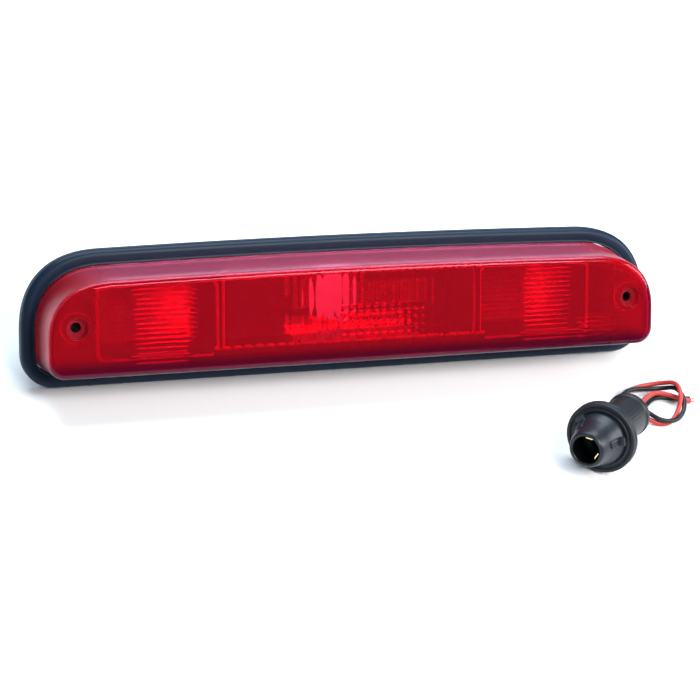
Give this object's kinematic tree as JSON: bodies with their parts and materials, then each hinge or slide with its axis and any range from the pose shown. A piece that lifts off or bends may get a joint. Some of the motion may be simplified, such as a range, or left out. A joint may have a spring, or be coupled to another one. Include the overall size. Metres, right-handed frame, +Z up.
{
  "type": "third brake light",
  "caption": "High-mounted stop lamp with a deep red lens in a rubber gasket, leaning back on its housing, beside its loose twist-lock bulb socket on a twisted red and black pigtail.",
  "frame": {"origin": "middle of the ground area under the lamp and the socket, on the ground, measured without the wires", "axes": "+X along the lamp's length, -Y towards the side that the lens faces, +Z up; the lamp leans back by 27.8 degrees about X"},
  "size_m": [0.3953, 0.1786, 0.0775],
  "materials": {
    "gasket_rubber": "satin black with a blue sheen",
    "lens_red": "clear red acrylic, polished",
    "sealant": "dull black",
    "housing_black": "moulded, fine grain",
    "metallised": "vacuum metallised plastic",
    "bead_red": "clear red",
    "seal_rubber": "matte black",
    "socket_black": "satin black, moulded",
    "boot_black": "glossy black",
    "contact_brass": "bright",
    "wire_red": "satin insulation",
    "wire_black": "satin insulation",
    "copper": "bare copper strands"
  },
  "bodies": {
    "lamp": {"body_gasket": "gasket_rubber", "lens": "lens_red", "lens_sealant": "sealant", "housing": "housing_black", "centre_reflector": "metallised", "left_reflector": "metallised", "right_reflector": "metallised", "bead_strip": "bead_red", "left_well_seal": "seal_rubber", "right_well_seal": "seal_rubber", "vent_plug": "seal_rubber"},
    "bulb_socket": {"socket_body": "socket_black", "socket_seal": "seal_rubber", "contact_carrier": "socket_black", "red_side_contact": "contact_brass", "black_side_contact": "contact_brass", "rear_boot": "boot_black", "red_wire": "wire_red", "black_wire": "wire_black", "red_wire_conductor": "copper", "black_wire_conductor": "copper"}
  },
  "joints": [
    {"name": "socket_lift", "type": "slide", "parent": "lamp", "child": "bulb_socket", "axis": [0, 0, 1], "range_m": [0, 0.12]}
  ]
}
